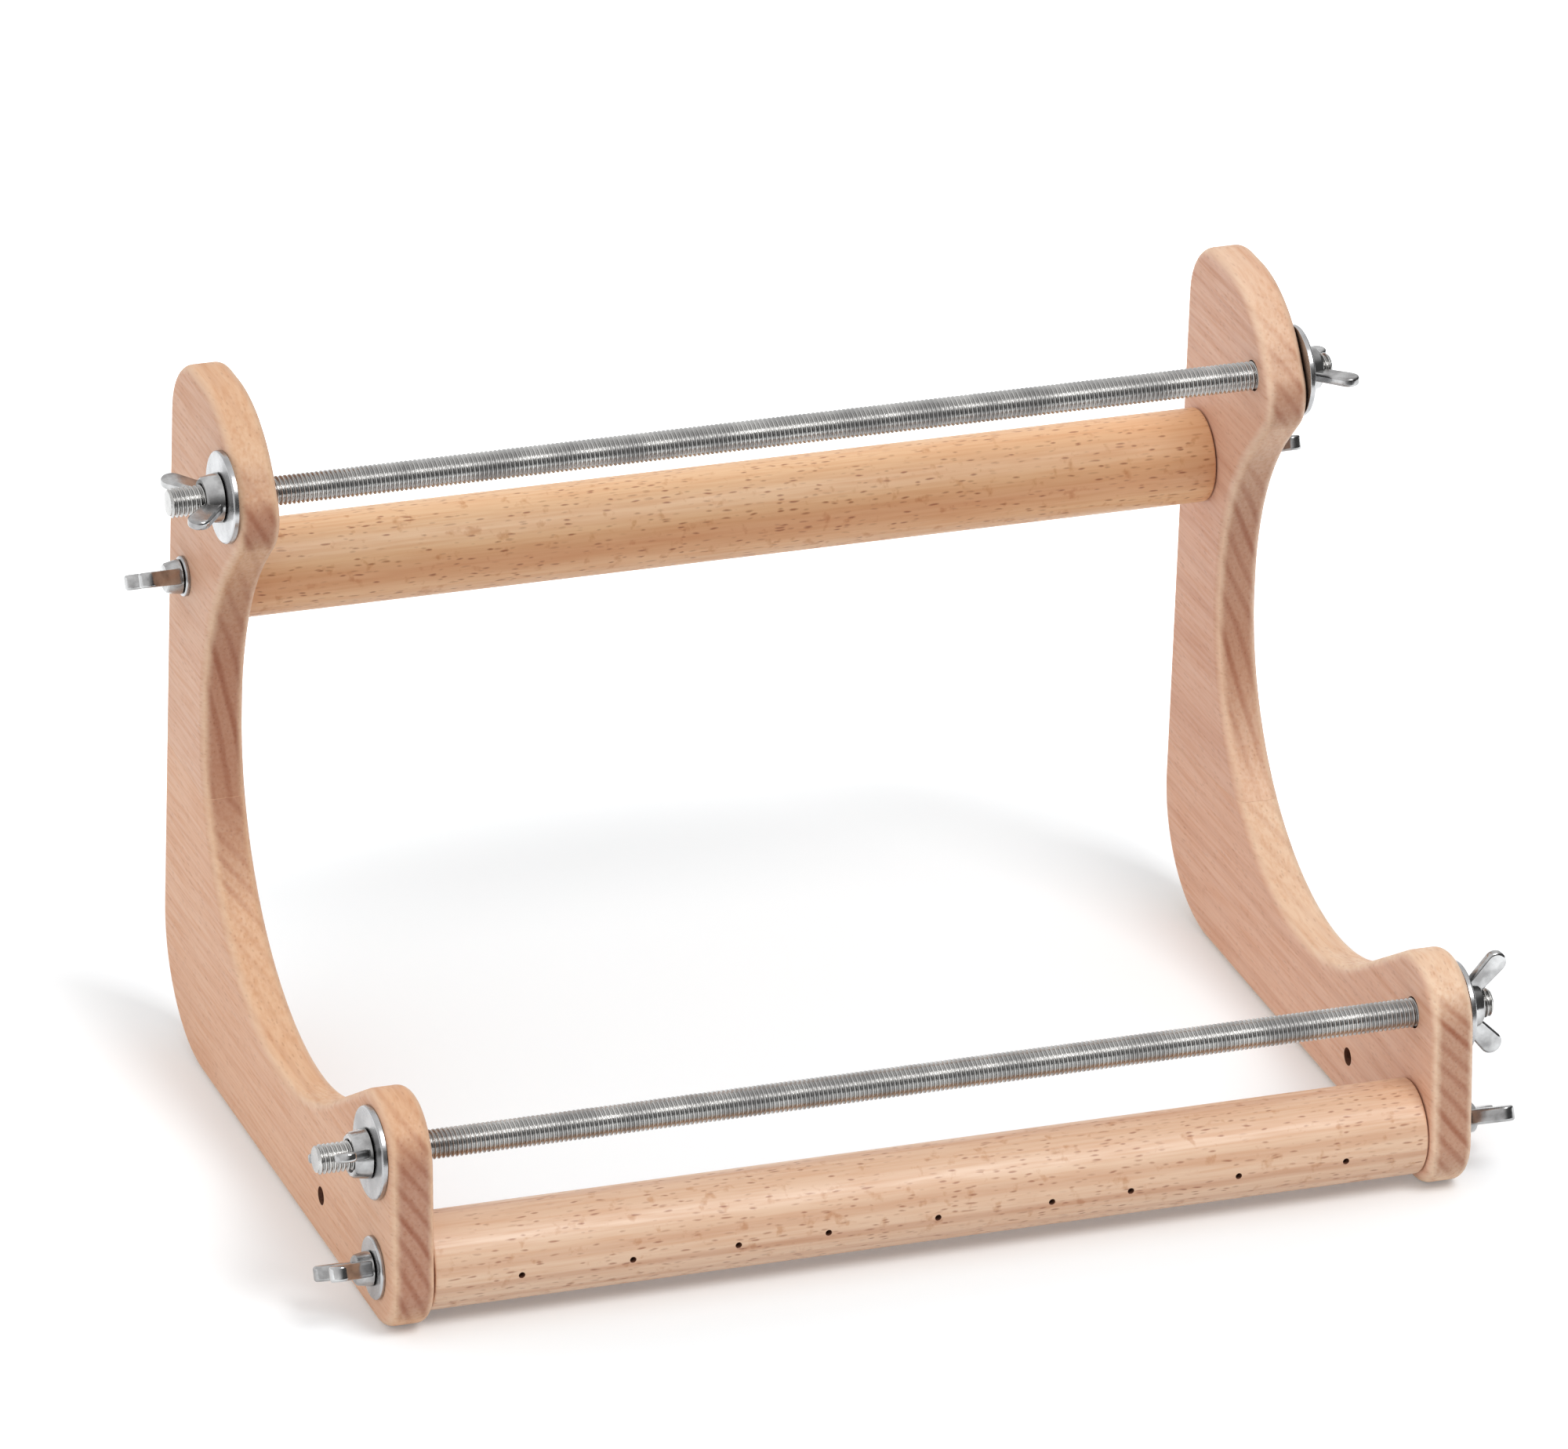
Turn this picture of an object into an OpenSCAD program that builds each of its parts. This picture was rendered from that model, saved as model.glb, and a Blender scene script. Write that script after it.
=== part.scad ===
// Bead loom: two glued beech side frames, two rollers and two threaded rods.
// X runs from the left frame to the right one, Y to the rear, Z up.
// The origin lies on the floor under the middle of the loom.

/* [Frames] */
// Clear width between the two side frames
gap_w = 280; // [200:5:400]
// Height of a side frame
frame_h = 200; // [198:1:260]
// Depth of a side frame, from its straight back edge to the front
frame_d = 200; // [197:1:260]
// Thickness of the frame boards
board_t = 12; // [9:0.5:18]
// Radius of the rounded-over board edges
edge_r = 3; // [1:0.25:4]
// Width of the upright
neck_w = 32.5; // [30.5:0.5:36]
// Height of the base arm at its lowest place
arm_h = 32.5; // [28:0.5:34.5]
// Radius of the large round cut in the front of the frame
inner_r = 72; // [60:0.5:73]
// Radius of the corner between back edge and floor
rear_bottom_r = 36; // [20:1:45]
// Radius of the corner at the very front of the base arm
front_bottom_r = 14; // [8:0.5:18]
// Radius of the front lobe around the lower rod
front_lobe_r = 17.5; // [15:0.5:19]
// Distance of the middle of the front lobe behind the front
front_lobe_set = 20.5; // [19.5:0.5:22]
// Height of the middle of the front lobe
front_lobe_h = 45.5; // [43:0.5:47]
// Reach of the upper lobe from the back edge
crown_reach = 61.5; // [58:0.5:63.5]
// Radius of the broad arc over the upper lobe
crown_r = 38.5; // [33:0.5:41]
// Radius under the front of the upper lobe
chin_r = 12.5; // [10:0.5:14]
// Distance of the middle of that radius below the top
chin_drop = 27.5; // [25:0.5:29.5]
// Radius of the corner between back edge and top
rear_top_r = 18; // [8:0.5:20]
// Height of the glue seam in the left frame, at its back edge
left_seam_h = 84.5; // [60:0.5:110]
// Rise of that seam towards the front, in degrees
left_seam_tilt = -4; // [-8:1:8]
// Height of the glue seam in the right frame, at its back edge
right_seam_h = 46.5; // [44:0.5:110]
// Rise of that seam towards the front, in degrees
right_seam_tilt = 5; // [-1:1:8]
// Diameter of the small hole through each base arm
arm_hole_d = 5; // [3:0.5:8]
// Distance of that hole behind the lower rod
arm_hole_back = 42; // [30:1:60]
// Height of that hole above the floor
arm_hole_h = 14; // [10:0.5:20]

/* [Rods] */
// Diameter of the threaded rods
rod_d = 8; // [6:0.5:9]
// Length of the threaded rods beyond the outer faces of the frames, both ends together
rod_spare = 26; // [24:1:40]
// How far the rods stand off centre towards the left
rod_shift = 3; // [0:0.5:4]
// Pitch of the rod thread
rod_pitch = 1.25; // [1:0.05:2]
// Depth of the rod thread
rod_thread_depth = 0.65; // [0.3:0.05:0.8]
// Distance of the upper rod from the back edge
upper_rod_back = 49.5; // [47:0.5:51]
// Distance of the upper rod below the top of the frame
upper_rod_drop = 23; // [20:0.5:26]
// Distance of the lower rod behind the front of the frame
lower_rod_set = 18.5; // [18:0.5:22]
// Height of the lower rod
lower_rod_h = 47.5; // [45:0.5:50]
// Radial clearance of the rods in the frames
rod_clear = 0.25; // [0.1:0.05:0.4]

/* [Rollers] */
// Diameter of the rollers
roller_d = 26; // [20:0.5:28]
// Gap between a roller end and its frame
roller_end_gap = 0.3; // [0.2:0.1:1]
// Rounding of the roller end edges
roller_edge_r = 0.8; // [0.3:0.1:1.5]
// Distance of the upper roller axis from the back edge
upper_roller_back = 15.5; // [14.5:0.5:17]
// Distance of the upper roller axis below the top of the frame
upper_roller_drop = 61; // [58:1:68]
// Distance of the lower roller axis behind the front of the frame
lower_roller_set = 15; // [14.5:0.5:17]
// Height of the lower roller axis
lower_roller_h = 15.5; // [15:0.5:17]
// Diameter of the warp holes in the lower roller
warp_hole_d = 1.8; // [1:0.1:3]
// Depth of the warp holes
warp_hole_depth = 9; // [4:0.5:9]
// Tilt of the row of warp holes below the horizontal
warp_hole_tilt = 5; // [0:1:30]

/* [Washers and wing nuts] */
// Diameter of the wide washers on the rods
rod_washer_d = 26; // [20:0.5:30]
// Thickness of those washers
rod_washer_t = 1.6; // [1:0.1:2.5]
// Radial clearance of a washer on its rod or bolt
washer_clear = 0.2; // [0.1:0.05:0.4]
// Diameter of a wing nut at its base
nut_base_d = 13.5; // [12:0.5:16]
// Diameter of a wing nut at its neck
nut_neck_d = 11.5; // [11:0.5:12]
// Height of the body of a wing nut
nut_h = 5; // [4:0.5:6]
// Radial clearance of the nut thread
thread_clear = 0.06; // [0.03:0.01:0.1]
// Thickness of the wings of a nut
nut_wing_t = 2.6; // [1.8:0.1:3.4]
// Radius of the tip of a wing
nut_tip_r = 3.1; // [2.6:0.1:4]
// Span over both wings of a nut
nut_span = 30; // [26:0.5:34]
// Height of a nut over its wing tips
nut_wing_h = 13; // [9:0.5:15]

/* [Wing bolts] */
// Diameter of the wing bolts
bolt_d = 6; // [5:0.25:7]
// Length of the bolt shank below its head
bolt_len = 26; // [22:0.5:30]
// Diameter of the washers under the upper wing bolts
upper_bolt_washer_d = 11; // [11:0.5:14]
// Diameter of the washers under the lower wing bolts
lower_bolt_washer_d = 17; // [14:0.5:20]
// Thickness of the bolt washers
bolt_washer_t = 1.2; // [0.8:0.1:2]
// Diameter of a bolt head at its base
bolt_base_d = 9.5; // [8.5:0.5:10.5]
// Diameter of a bolt head at its neck
bolt_neck_d = 8; // [7:0.5:8.5]
// Height of the round part of a bolt head
bolt_head_h = 4.5; // [4:0.5:6]
// Thickness of the wings of a bolt
bolt_wing_t = 4.2; // [2:0.1:5]
// Radius of the tip of a bolt wing
bolt_tip_r = 2.8; // [2.2:0.1:3.4]
// Span over both wings of a bolt
bolt_span = 20; // [18:0.5:26]
// Height of a bolt head over its wing tips
bolt_wing_h = 13.4; // [11:0.1:16]

/* [Threaded inserts] */
// Outer diameter of the inserts in the roller ends
insert_d = 9; // [8.5:0.25:10]
// Length of the inserts
insert_len = 13; // [10:0.5:16]
// Number of ring grooves around an insert
insert_grooves = 3; // [1:1:4]
// Depth of the ring grooves
insert_groove_depth = 0.4; // [0.2:0.05:0.6]
// Radial clearance of an insert in its roller
insert_clear = 0.02; // [0.01:0.01:0.05]

/* [Resting tilt of the wings] */
// Tilt of the wings of the upper left nut from level, in degrees
upper_left_nut_tilt = -3; // [-90:1:90]
// Tilt of the wings of the upper right nut, in degrees
upper_right_nut_tilt = 5; // [-90:1:90]
// Tilt of the wings of the lower left nut, in degrees
lower_left_nut_tilt = 26; // [-90:1:90]
// Tilt of the wings of the lower right nut, in degrees
lower_right_nut_tilt = 90; // [-90:1:90]
// Tilt of the wings of the four bolts, in degrees
wing_bolt_tilt = 26; // [-90:1:90]

/* [Hidden] */

$fn = 48;
// Longest facet on a curved outline, and its largest turn in degrees
facet_len = 4;
facet_turn = 15;
// Steps over a rounded edge
board_edge_steps = 3;
wing_edge_steps = 2;
// Overrun of every cut
over = 1;
// Straight piece between two roundings that run into each other
straight_piece = 0.5;
// Working gap between flat faces that slide on each other
seat_gap = 0.05;
// Bevel at the ends of rods, bolts and washers
bevel = 0.4;
// Free depth past the end of a bolt in its roller
bolt_free = 4;
// Rounding of the wing edges
wing_edge_r = 0.8;

beech = [0.86, 0.69, 0.57];
pale_beech = [0.89, 0.74, 0.60];
zinc = [0.75, 0.76, 0.78];
brass = [0.78, 0.66, 0.36];

outer_x = gap_w / 2 + board_t;
roller_len = gap_w - 2 * roller_end_gap;
rod_len = 2 * outer_x + rod_spare;

// Places in the side view, as distance from the back edge and height
upper_rod = [upper_rod_back, frame_h - upper_rod_drop];
lower_rod = [frame_d - lower_rod_set, lower_rod_h];
upper_roller = [upper_roller_back, frame_h - upper_roller_drop];
lower_roller = [frame_d - lower_roller_set, lower_roller_h];
arm_hole = [frame_d - lower_rod_set - arm_hole_back, arm_hole_h];

// The chin is the rounding under the front of the upper lobe
chin = [crown_reach - chin_r, frame_h - chin_drop];
// The round cut is a slot: its lower end touches the base arm, its upper end runs into the chin
cut_x = neck_w + inner_r;
cut_top_h = chin.y - sqrt(pow(inner_r + chin_r + straight_piece, 2) - pow(cut_x - chin.x, 2));
// The broad arc over the upper lobe runs out of the chin and touches the top
crown_way = crown_r - chin_r + straight_piece;
crown_angle = asin((chin.y - frame_h + crown_r) / crown_way);

// The outline of a side frame is a belt around these circles: distance from the back, height, radius.
// A negative radius is a hollow that the belt bends round from outside.
frame_circles = [
  [rear_bottom_r, rear_bottom_r, rear_bottom_r],
  [frame_d - front_bottom_r, front_bottom_r, front_bottom_r],
  [frame_d - front_lobe_set, front_lobe_h, front_lobe_r],
  [cut_x, arm_h + inner_r, -inner_r],
  [cut_x, cut_top_h, -inner_r],
  [chin.x, chin.y, chin_r],
  [chin.x - crown_way * cos(crown_angle), frame_h - crown_r, crown_r],
  [rear_top_r, frame_h - rear_top_r, rear_top_r]
];

// Warp holes along the lower roller, as shares of half its length
warp_hole_shares = [-0.83, -0.61, -0.4, -0.22, 0, 0.23, 0.39, 0.61, 0.83];

// A turn brought into one full circle
function wrap(a) = a - 360 * floor(a / 360);

// Direction of the outward normal on the straight piece from circle a to circle b
function belt_angle(a, b) =
  let (d = [b.x - a.x, b.y - a.y])
  atan2(d.y, d.x) - acos((a.z - b.z) / norm(d));

// Number of facets on an arc of radius r that turns by a given angle
function arc_steps(r, turn) =
  max(1, ceil(abs(turn) / min(facet_turn, facet_len / abs(r) * 180 / PI)));

// Belt around a ring of circles: points with their outward normals
function belt(circles) = [
  for (i = [0 : len(circles) - 1])
    let (
      c = circles[i],
      last = circles[(i + len(circles) - 1) % len(circles)],
      next = circles[(i + 1) % len(circles)],
      a_in = belt_angle(last, c),
      a_out = belt_angle(c, next),
      turn = c.z > 0 ? wrap(a_out - a_in) : -wrap(a_in - a_out),
      steps = arc_steps(c.z, turn)
    )
    for (k = [0 : steps])
      let (a = a_in + turn * k / steps)
      [c.x + c.z * cos(a), c.y + c.z * sin(a), cos(a), sin(a)]
];

// Which way three points turn: above zero is to the left
function bend(a, b, c) = (b.x - a.x) * (c.y - a.y) - (b.y - a.y) * (c.x - a.x);

// Whether the corner at place i of a ring can be cut off without touching another point
function is_ear(p, ring, i) =
  let (n = len(ring), a = p[ring[(i + n - 1) % n]], b = p[ring[i]], c = p[ring[(i + 1) % n]])
  bend(a, b, c) > 0 && len([
    for (k = [2 : n - 2])
      let (q = p[ring[(i + k) % n]])
      if (bend(a, b, q) >= 0 && bend(b, c, q) >= 0 && bend(c, a, q) >= 0) k
  ]) == 0;

// First such corner from place i on
function next_ear(p, ring, i) = is_ear(p, ring, i) ? i : next_ear(p, ring, i + 1);

// Triangles that fill a closed outline
function fill(p, ring) =
  let (n = len(ring))
  n == 3 ? [ring] :
  let (i = next_ear(p, ring, 0))
  concat(
    [[ring[(i + n - 1) % n], ring[i], ring[(i + 1) % n]]],
    fill(p, [for (k = [0 : n - 1]) if (k != i) ring[k]])
  );

// Levels of a slab with rounded edges: height and how far the outline is drawn in
function edge_levels(t, r, steps) = [
  for (k = [0 : steps]) [r - r * cos(90 * k / steps), r - r * sin(90 * k / steps)],
  for (k = [steps : -1 : 0]) [t - r + r * cos(90 * k / steps), r - r * sin(90 * k / steps)]
];

// Slab of thickness t over a belt outline, both edges rounded with radius r
module rounded_slab(circles, t, r, steps) {
  outline = belt(circles);
  levels = edge_levels(t, r, steps);
  n = len(outline);
  m = len(levels);
  points = [for (l = levels) for (p = outline) [p[0] - l[1] * p[2], p[1] - l[1] * p[3], l[0]]];
  walls = [
    for (i = [0 : m - 2])
      for (j = [0 : n - 1])
        let (a = i * n + j, b = i * n + (j + 1) % n)
        for (face = [[a, a + n, b + n], [a, b + n, b]]) face
  ];
  foot = fill(points, [for (j = [0 : n - 1]) j]);
  lid = [for (f = foot) [for (k = [2, 1, 0]) f[k] + (m - 1) * n]];
  polyhedron(points, concat(foot, walls, lid));
}

// Lays children that stand along Z on the X axis at a place of the side view
module along_x(place, x) {
  translate([x, frame_d / 2 - place.x, place.y]) rotate([0, 90, 0]) children();
}

// The same for parts at a frame's outer face, pointing outwards; side is -1 or 1
module outwards(place, side, stand = 0) {
  translate([side * (outer_x + stand), frame_d / 2 - place.x, place.y])
    rotate([0, side * 90, 0]) children();
}

// One whole side frame with its bores, before it is parted at the glue seam
module side_frame(side) {
  outer = side > 0 ? outer_x : outer_x - board_t;
  difference() {
    translate([side * outer, frame_d / 2, 0])
      rotate([90, 0, -90]) rounded_slab(frame_circles, board_t, edge_r, board_edge_steps);
    for (bore = [
      [upper_rod, rod_d / 2 + rod_clear],
      [lower_rod, rod_d / 2 + rod_clear],
      [upper_roller, bolt_d / 2 + rod_clear],
      [lower_roller, bolt_d / 2 + rod_clear],
      [arm_hole, arm_hole_d / 2]
    ])
      along_x(bore[0], side * (outer_x - board_t / 2))
        cylinder(h = board_t + 2 * over, r = bore[1], center = true);
  }
}

// Block that takes the upright of a frame above its glue seam
module seam_block(side, seam_h, tilt) {
  translate([side * (outer_x - board_t / 2), frame_d / 2, seam_h]) rotate([-tilt, 0, 0])
    translate([0, (neck_w - cut_x) / 2, frame_h / 2])
      cube([board_t + 2 * over, neck_w + cut_x, frame_h], center = true);
}

module upper_board(side, seam_h, tilt) {
  color(beech) intersection() {
    side_frame(side);
    seam_block(side, seam_h, tilt);
  }
}

module lower_board(side, seam_h, tilt) {
  color(beech) difference() {
    side_frame(side);
    seam_block(side, seam_h, tilt);
  }
}

// Side view of a thread as rings, from its foot at zero to its end
function ring_thread(r, depth, pitch, length) =
  let (turns = floor(length / pitch), rest = (length - turns * pitch) / 2)
  [
    [0, 0],
    [r - depth, 0],
    for (k = [0 : turns - 1]) each [
      [r - depth, rest + k * pitch],
      [r, rest + (k + 0.5) * pitch]
    ],
    [r - depth, rest + turns * pitch],
    [r - depth, length],
    [0, length]
  ];

module threaded_rod(place) {
  color(zinc) along_x(place, -rod_len / 2 - rod_shift)
    rotate_extrude() polygon(ring_thread(rod_d / 2, rod_thread_depth, rod_pitch, rod_len));
}

// A roller with rounded end edges and a stepped bore for insert and bolt at each end
module roller_body(place) {
  r = roller_d / 2;
  half = roller_len / 2;
  bolt_depth = bolt_len - board_t - bolt_washer_t - roller_end_gap + bolt_free;
  along_x(place, 0) difference() {
    rotate_extrude() difference() {
      union() {
        translate([0, -half]) square([r - roller_edge_r, roller_len]);
        translate([0, -half + roller_edge_r]) square([r, roller_len - 2 * roller_edge_r]);
        for (end = [-1, 1])
          translate([r - roller_edge_r, end * (half - roller_edge_r)]) circle(roller_edge_r);
      }
      translate([-r, -half - over]) square([r, roller_len + 2 * over]);
    }
    for (end = [-1, 1]) {
      translate([0, 0, end * (half - (insert_len - over) / 2)])
        cylinder(h = insert_len + over, d = insert_d, center = true);
      translate([0, 0, end * (half - (bolt_depth - over) / 2)])
        cylinder(h = bolt_depth + over, r = bolt_d / 2 + rod_clear, center = true);
    }
  }
}

module plain_roller() {
  color(pale_beech) roller_body(upper_roller);
}

module drilled_roller() {
  color(pale_beech) difference() {
    roller_body(lower_roller);
    for (share = warp_hole_shares)
      translate([share * roller_len / 2, frame_d / 2 - lower_roller.x, lower_roller.y])
        rotate([90 + warp_hole_tilt, 0, 0])
          translate([0, 0, roller_d / 2 - warp_hole_depth])
            cylinder(h = warp_hole_depth + over, d = warp_hole_d, $fn = 24);
  }
}

// Flat ring with bevelled edges on its outer side
module washer(d, bore_r, t) {
  rotate_extrude() polygon([
    [bore_r, 0],
    [d / 2, 0],
    [d / 2, t - bevel],
    [d / 2 - bevel, t],
    [bore_r, t]
  ]);
}

module rod_washer(place, side) {
  color(zinc) outwards(place, side, seat_gap)
    washer(rod_washer_d, rod_d / 2 + washer_clear, rod_washer_t);
}

module bolt_washer(place, side, d) {
  color(zinc) outwards(place, side, seat_gap)
    washer(d, bolt_d / 2 + washer_clear, bolt_washer_t);
}

// Pair of wings that spread from a round body; radial place first, then height
module wings(body_r, body_h, span, height, tip_r, t) {
  root_r = body_h / 2;
  leaf = [
    [body_r - root_r / 2, root_r, root_r],
    [span / 2 - tip_r, height - tip_r, tip_r]
  ];
  for (turn = [0, 180])
    rotate([0, 0, turn]) translate([0, t / 2, 0])
      rotate([90, 0, 0]) rounded_slab(leaf, t, wing_edge_r, wing_edge_steps);
}

module wing_nut(place, side, tilt) {
  color(zinc) outwards(place, side, 2 * seat_gap + rod_washer_t)
    rotate([0, 0, 90 - side * tilt])
      difference() {
        union() {
          cylinder(h = nut_h, d1 = nut_base_d, d2 = nut_neck_d);
          wings(nut_neck_d / 2, nut_h, nut_span, nut_wing_h, nut_tip_r, nut_wing_t);
        }
        translate([0, 0, -over])
          cylinder(h = nut_wing_h + 2 * over, r = rod_d / 2 + thread_clear);
      }
}

module wing_bolt(place, side, tilt) {
  color(zinc) outwards(place, side, 2 * seat_gap + bolt_washer_t)
    rotate([0, 0, 90 - side * tilt])
      union() {
        cylinder(h = bolt_head_h, d1 = bolt_base_d, d2 = bolt_neck_d);
        wings(bolt_neck_d / 2, bolt_head_h, bolt_span, bolt_wing_h, bolt_tip_r, bolt_wing_t);
        translate([0, 0, -bolt_len + bevel]) cylinder(h = bolt_len - bevel + over, d = bolt_d);
        translate([0, 0, -bolt_len]) cylinder(h = bevel, d1 = bolt_d - 2 * bevel, d2 = bolt_d);
      }
}

// Brass bush pressed into a roller end, with ring grooves for grip and a land beside each
module insert(place, side) {
  r = insert_d / 2 - insert_clear;
  groove_w = insert_len / (3 * insert_grooves);
  color(brass) outwards(place, side, -board_t - roller_end_gap - insert_len)
    difference() {
      cylinder(h = insert_len, r = r);
      translate([0, 0, -over]) cylinder(h = insert_len + 2 * over, r = bolt_d / 2 + thread_clear);
      for (k = [0 : insert_grooves - 1])
        translate([0, 0, (3 * k + 1) * groove_w]) difference() {
          cylinder(h = groove_w, r = r + over);
          translate([0, 0, -over]) cylinder(h = groove_w + 2 * over, r = r - insert_groove_depth);
        }
    }
}

upper_board(-1, left_seam_h, left_seam_tilt);  // left_upper_board
lower_board(-1, left_seam_h, left_seam_tilt);  // left_lower_board
upper_board(1, right_seam_h, right_seam_tilt);  // right_upper_board
lower_board(1, right_seam_h, right_seam_tilt);  // right_lower_board
threaded_rod(upper_rod);
threaded_rod(lower_rod);
plain_roller();  // upper_roller
drilled_roller();  // lower_roller
rod_washer(upper_rod, -1);  // upper_left_rod_washer
rod_washer(upper_rod, 1);  // upper_right_rod_washer
rod_washer(lower_rod, -1);  // lower_left_rod_washer
rod_washer(lower_rod, 1);  // lower_right_rod_washer
wing_nut(upper_rod, -1, upper_left_nut_tilt);  // upper_left_wing_nut
wing_nut(upper_rod, 1, upper_right_nut_tilt);  // upper_right_wing_nut
wing_nut(lower_rod, -1, lower_left_nut_tilt);  // lower_left_wing_nut
wing_nut(lower_rod, 1, lower_right_nut_tilt);  // lower_right_wing_nut
bolt_washer(upper_roller, -1, upper_bolt_washer_d);  // upper_left_bolt_washer
bolt_washer(upper_roller, 1, upper_bolt_washer_d);  // upper_right_bolt_washer
bolt_washer(lower_roller, -1, lower_bolt_washer_d);  // lower_left_bolt_washer
bolt_washer(lower_roller, 1, lower_bolt_washer_d);  // lower_right_bolt_washer
wing_bolt(upper_roller, -1, wing_bolt_tilt);  // upper_left_wing_bolt
wing_bolt(upper_roller, 1, wing_bolt_tilt);  // upper_right_wing_bolt
wing_bolt(lower_roller, -1, wing_bolt_tilt);  // lower_left_wing_bolt
wing_bolt(lower_roller, 1, wing_bolt_tilt);  // lower_right_wing_bolt
insert(upper_roller, -1);  // upper_left_insert
insert(upper_roller, 1);  // upper_right_insert
insert(lower_roller, -1);  // lower_left_insert
insert(lower_roller, 1);  // lower_right_insert
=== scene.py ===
# %% [markdown]
# # A bead loom
# The real loom is beech and zinc-plated steel: two C-shaped side frames, two rollers that hold
# the warp threads, two threaded rods that space them, and the wing hardware that locks it all.
# The CAD model gives every size. This lesson rebuilds each piece as a fine mesh in the same
# place, gives it a finish made of nodes, and lets it ride on its CAD body.

# %% Load the frame
import math

import bmesh
import bpy
from mathutils import Matrix, Vector


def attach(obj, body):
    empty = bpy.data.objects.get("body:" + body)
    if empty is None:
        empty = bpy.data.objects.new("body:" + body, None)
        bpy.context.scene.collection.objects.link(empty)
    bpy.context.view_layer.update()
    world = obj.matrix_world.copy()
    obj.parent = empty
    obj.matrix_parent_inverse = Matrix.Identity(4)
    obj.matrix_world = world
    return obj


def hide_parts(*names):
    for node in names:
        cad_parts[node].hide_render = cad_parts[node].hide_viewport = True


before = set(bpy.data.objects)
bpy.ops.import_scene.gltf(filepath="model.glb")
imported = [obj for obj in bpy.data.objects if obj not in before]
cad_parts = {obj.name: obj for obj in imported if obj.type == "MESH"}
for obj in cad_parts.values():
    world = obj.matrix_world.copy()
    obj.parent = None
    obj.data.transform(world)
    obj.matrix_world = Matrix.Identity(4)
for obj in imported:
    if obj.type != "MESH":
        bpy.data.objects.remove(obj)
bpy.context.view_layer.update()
MM = 0.001

# %% [markdown]
# ## The camera
# A product photographer stands well back with a long lens, so that parallel edges stay nearly
# parallel. The camera looks slightly down and from the left. It is placed by its aim point, its
# distance and three angles, because these are what one reads from a photograph.

# %% Camera
FULL_FRAME_MM = 36.0


def make_camera(aim, distance, yaw, pitch, roll, lens):
    """Camera that looks at a point from a distance; angles in degrees."""
    data = bpy.data.cameras.new("camera")
    data.lens, data.sensor_width, data.sensor_fit = lens, FULL_FRAME_MM, "HORIZONTAL"
    data.clip_start, data.clip_end = 0.1, 50.0
    camera = bpy.data.objects.new("camera", data)
    bpy.context.scene.collection.objects.link(camera)
    turn = (Matrix.Rotation(math.radians(-yaw), 4, "Z")
            @ Matrix.Rotation(math.radians(90 - pitch), 4, "X")
            @ Matrix.Rotation(math.radians(roll), 4, "Z"))
    back = Matrix.Translation((0, 0, distance))
    camera.matrix_world = Matrix.Translation(Vector(aim)) @ turn @ back
    bpy.context.scene.camera = camera
    return camera


camera = make_camera(aim=(-0.0017, 0.0252, 0.1024), distance=3.677,
                     yaw=20.75, pitch=25.21, roll=2.02, lens=314.6)
print("camera at", [round(v, 3) for v in camera.matrix_world.translation])

# %% [markdown]
# ## Helpers for finishes
# A finish is a small network of nodes. One function turns a web colour into the linear numbers
# that Blender mixes, and one adds a node with its settings and its links, so that each finish
# below reads like a recipe.

# %% Colours and nodes
def linear(colour):
    """Linear RGBA of an sRGB hex colour such as '#E0B090'."""
    values = [int(colour[i:i + 2], 16) / 255 for i in (1, 3, 5)]
    return [v / 12.92 if v <= 0.04045 else ((v + 0.055) / 1.055) ** 2.4 for v in values] + [1.0]


def add(tree, kind, inputs=None, **settings):
    """Adds a node. An input gets a value, or a link where a node or one of its outputs is given."""
    node = tree.nodes.new(kind)
    for key, value in settings.items():
        setattr(node, key, value)
    for key, value in (inputs or {}).items():
        if isinstance(key, int):
            socket = node.inputs[key]
        else:
            socket = next(s for s in node.inputs if s.name == key and s.enabled)
        if isinstance(value, bpy.types.Node):
            value = next(s for s in value.outputs if s.enabled)
        if isinstance(value, bpy.types.NodeSocket):
            tree.links.new(value, socket)
        else:
            socket.default_value = value
    return node


def blank_finish(name):
    """New material whose nodes are still to be added; gives the material and its tree."""
    material = bpy.data.materials.new(name)
    material.use_nodes = True
    material.node_tree.nodes.clear()
    return material, material.node_tree


print("mid grey #808080 is", round(linear("#808080")[0], 3), "in linear numbers")

# %% [markdown]
# ## Beech
# Beech is planed for the boards and turned for the rollers, and left unvarnished. To the eye it
# is a calm, warm tan: growth rings show as faint bands on the face and as soft stripes where an
# edge cuts through them, and many short brown flecks, the rays, lie along the fibre. One could
# wrap a flat pattern round each piece, but it would break at the edges. A solid pattern, worked
# out in space, gives bands and stripes that meet at every edge. All sizes are real ones in
# millimetres, from the width of a growth ring to that of a ray.

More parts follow.
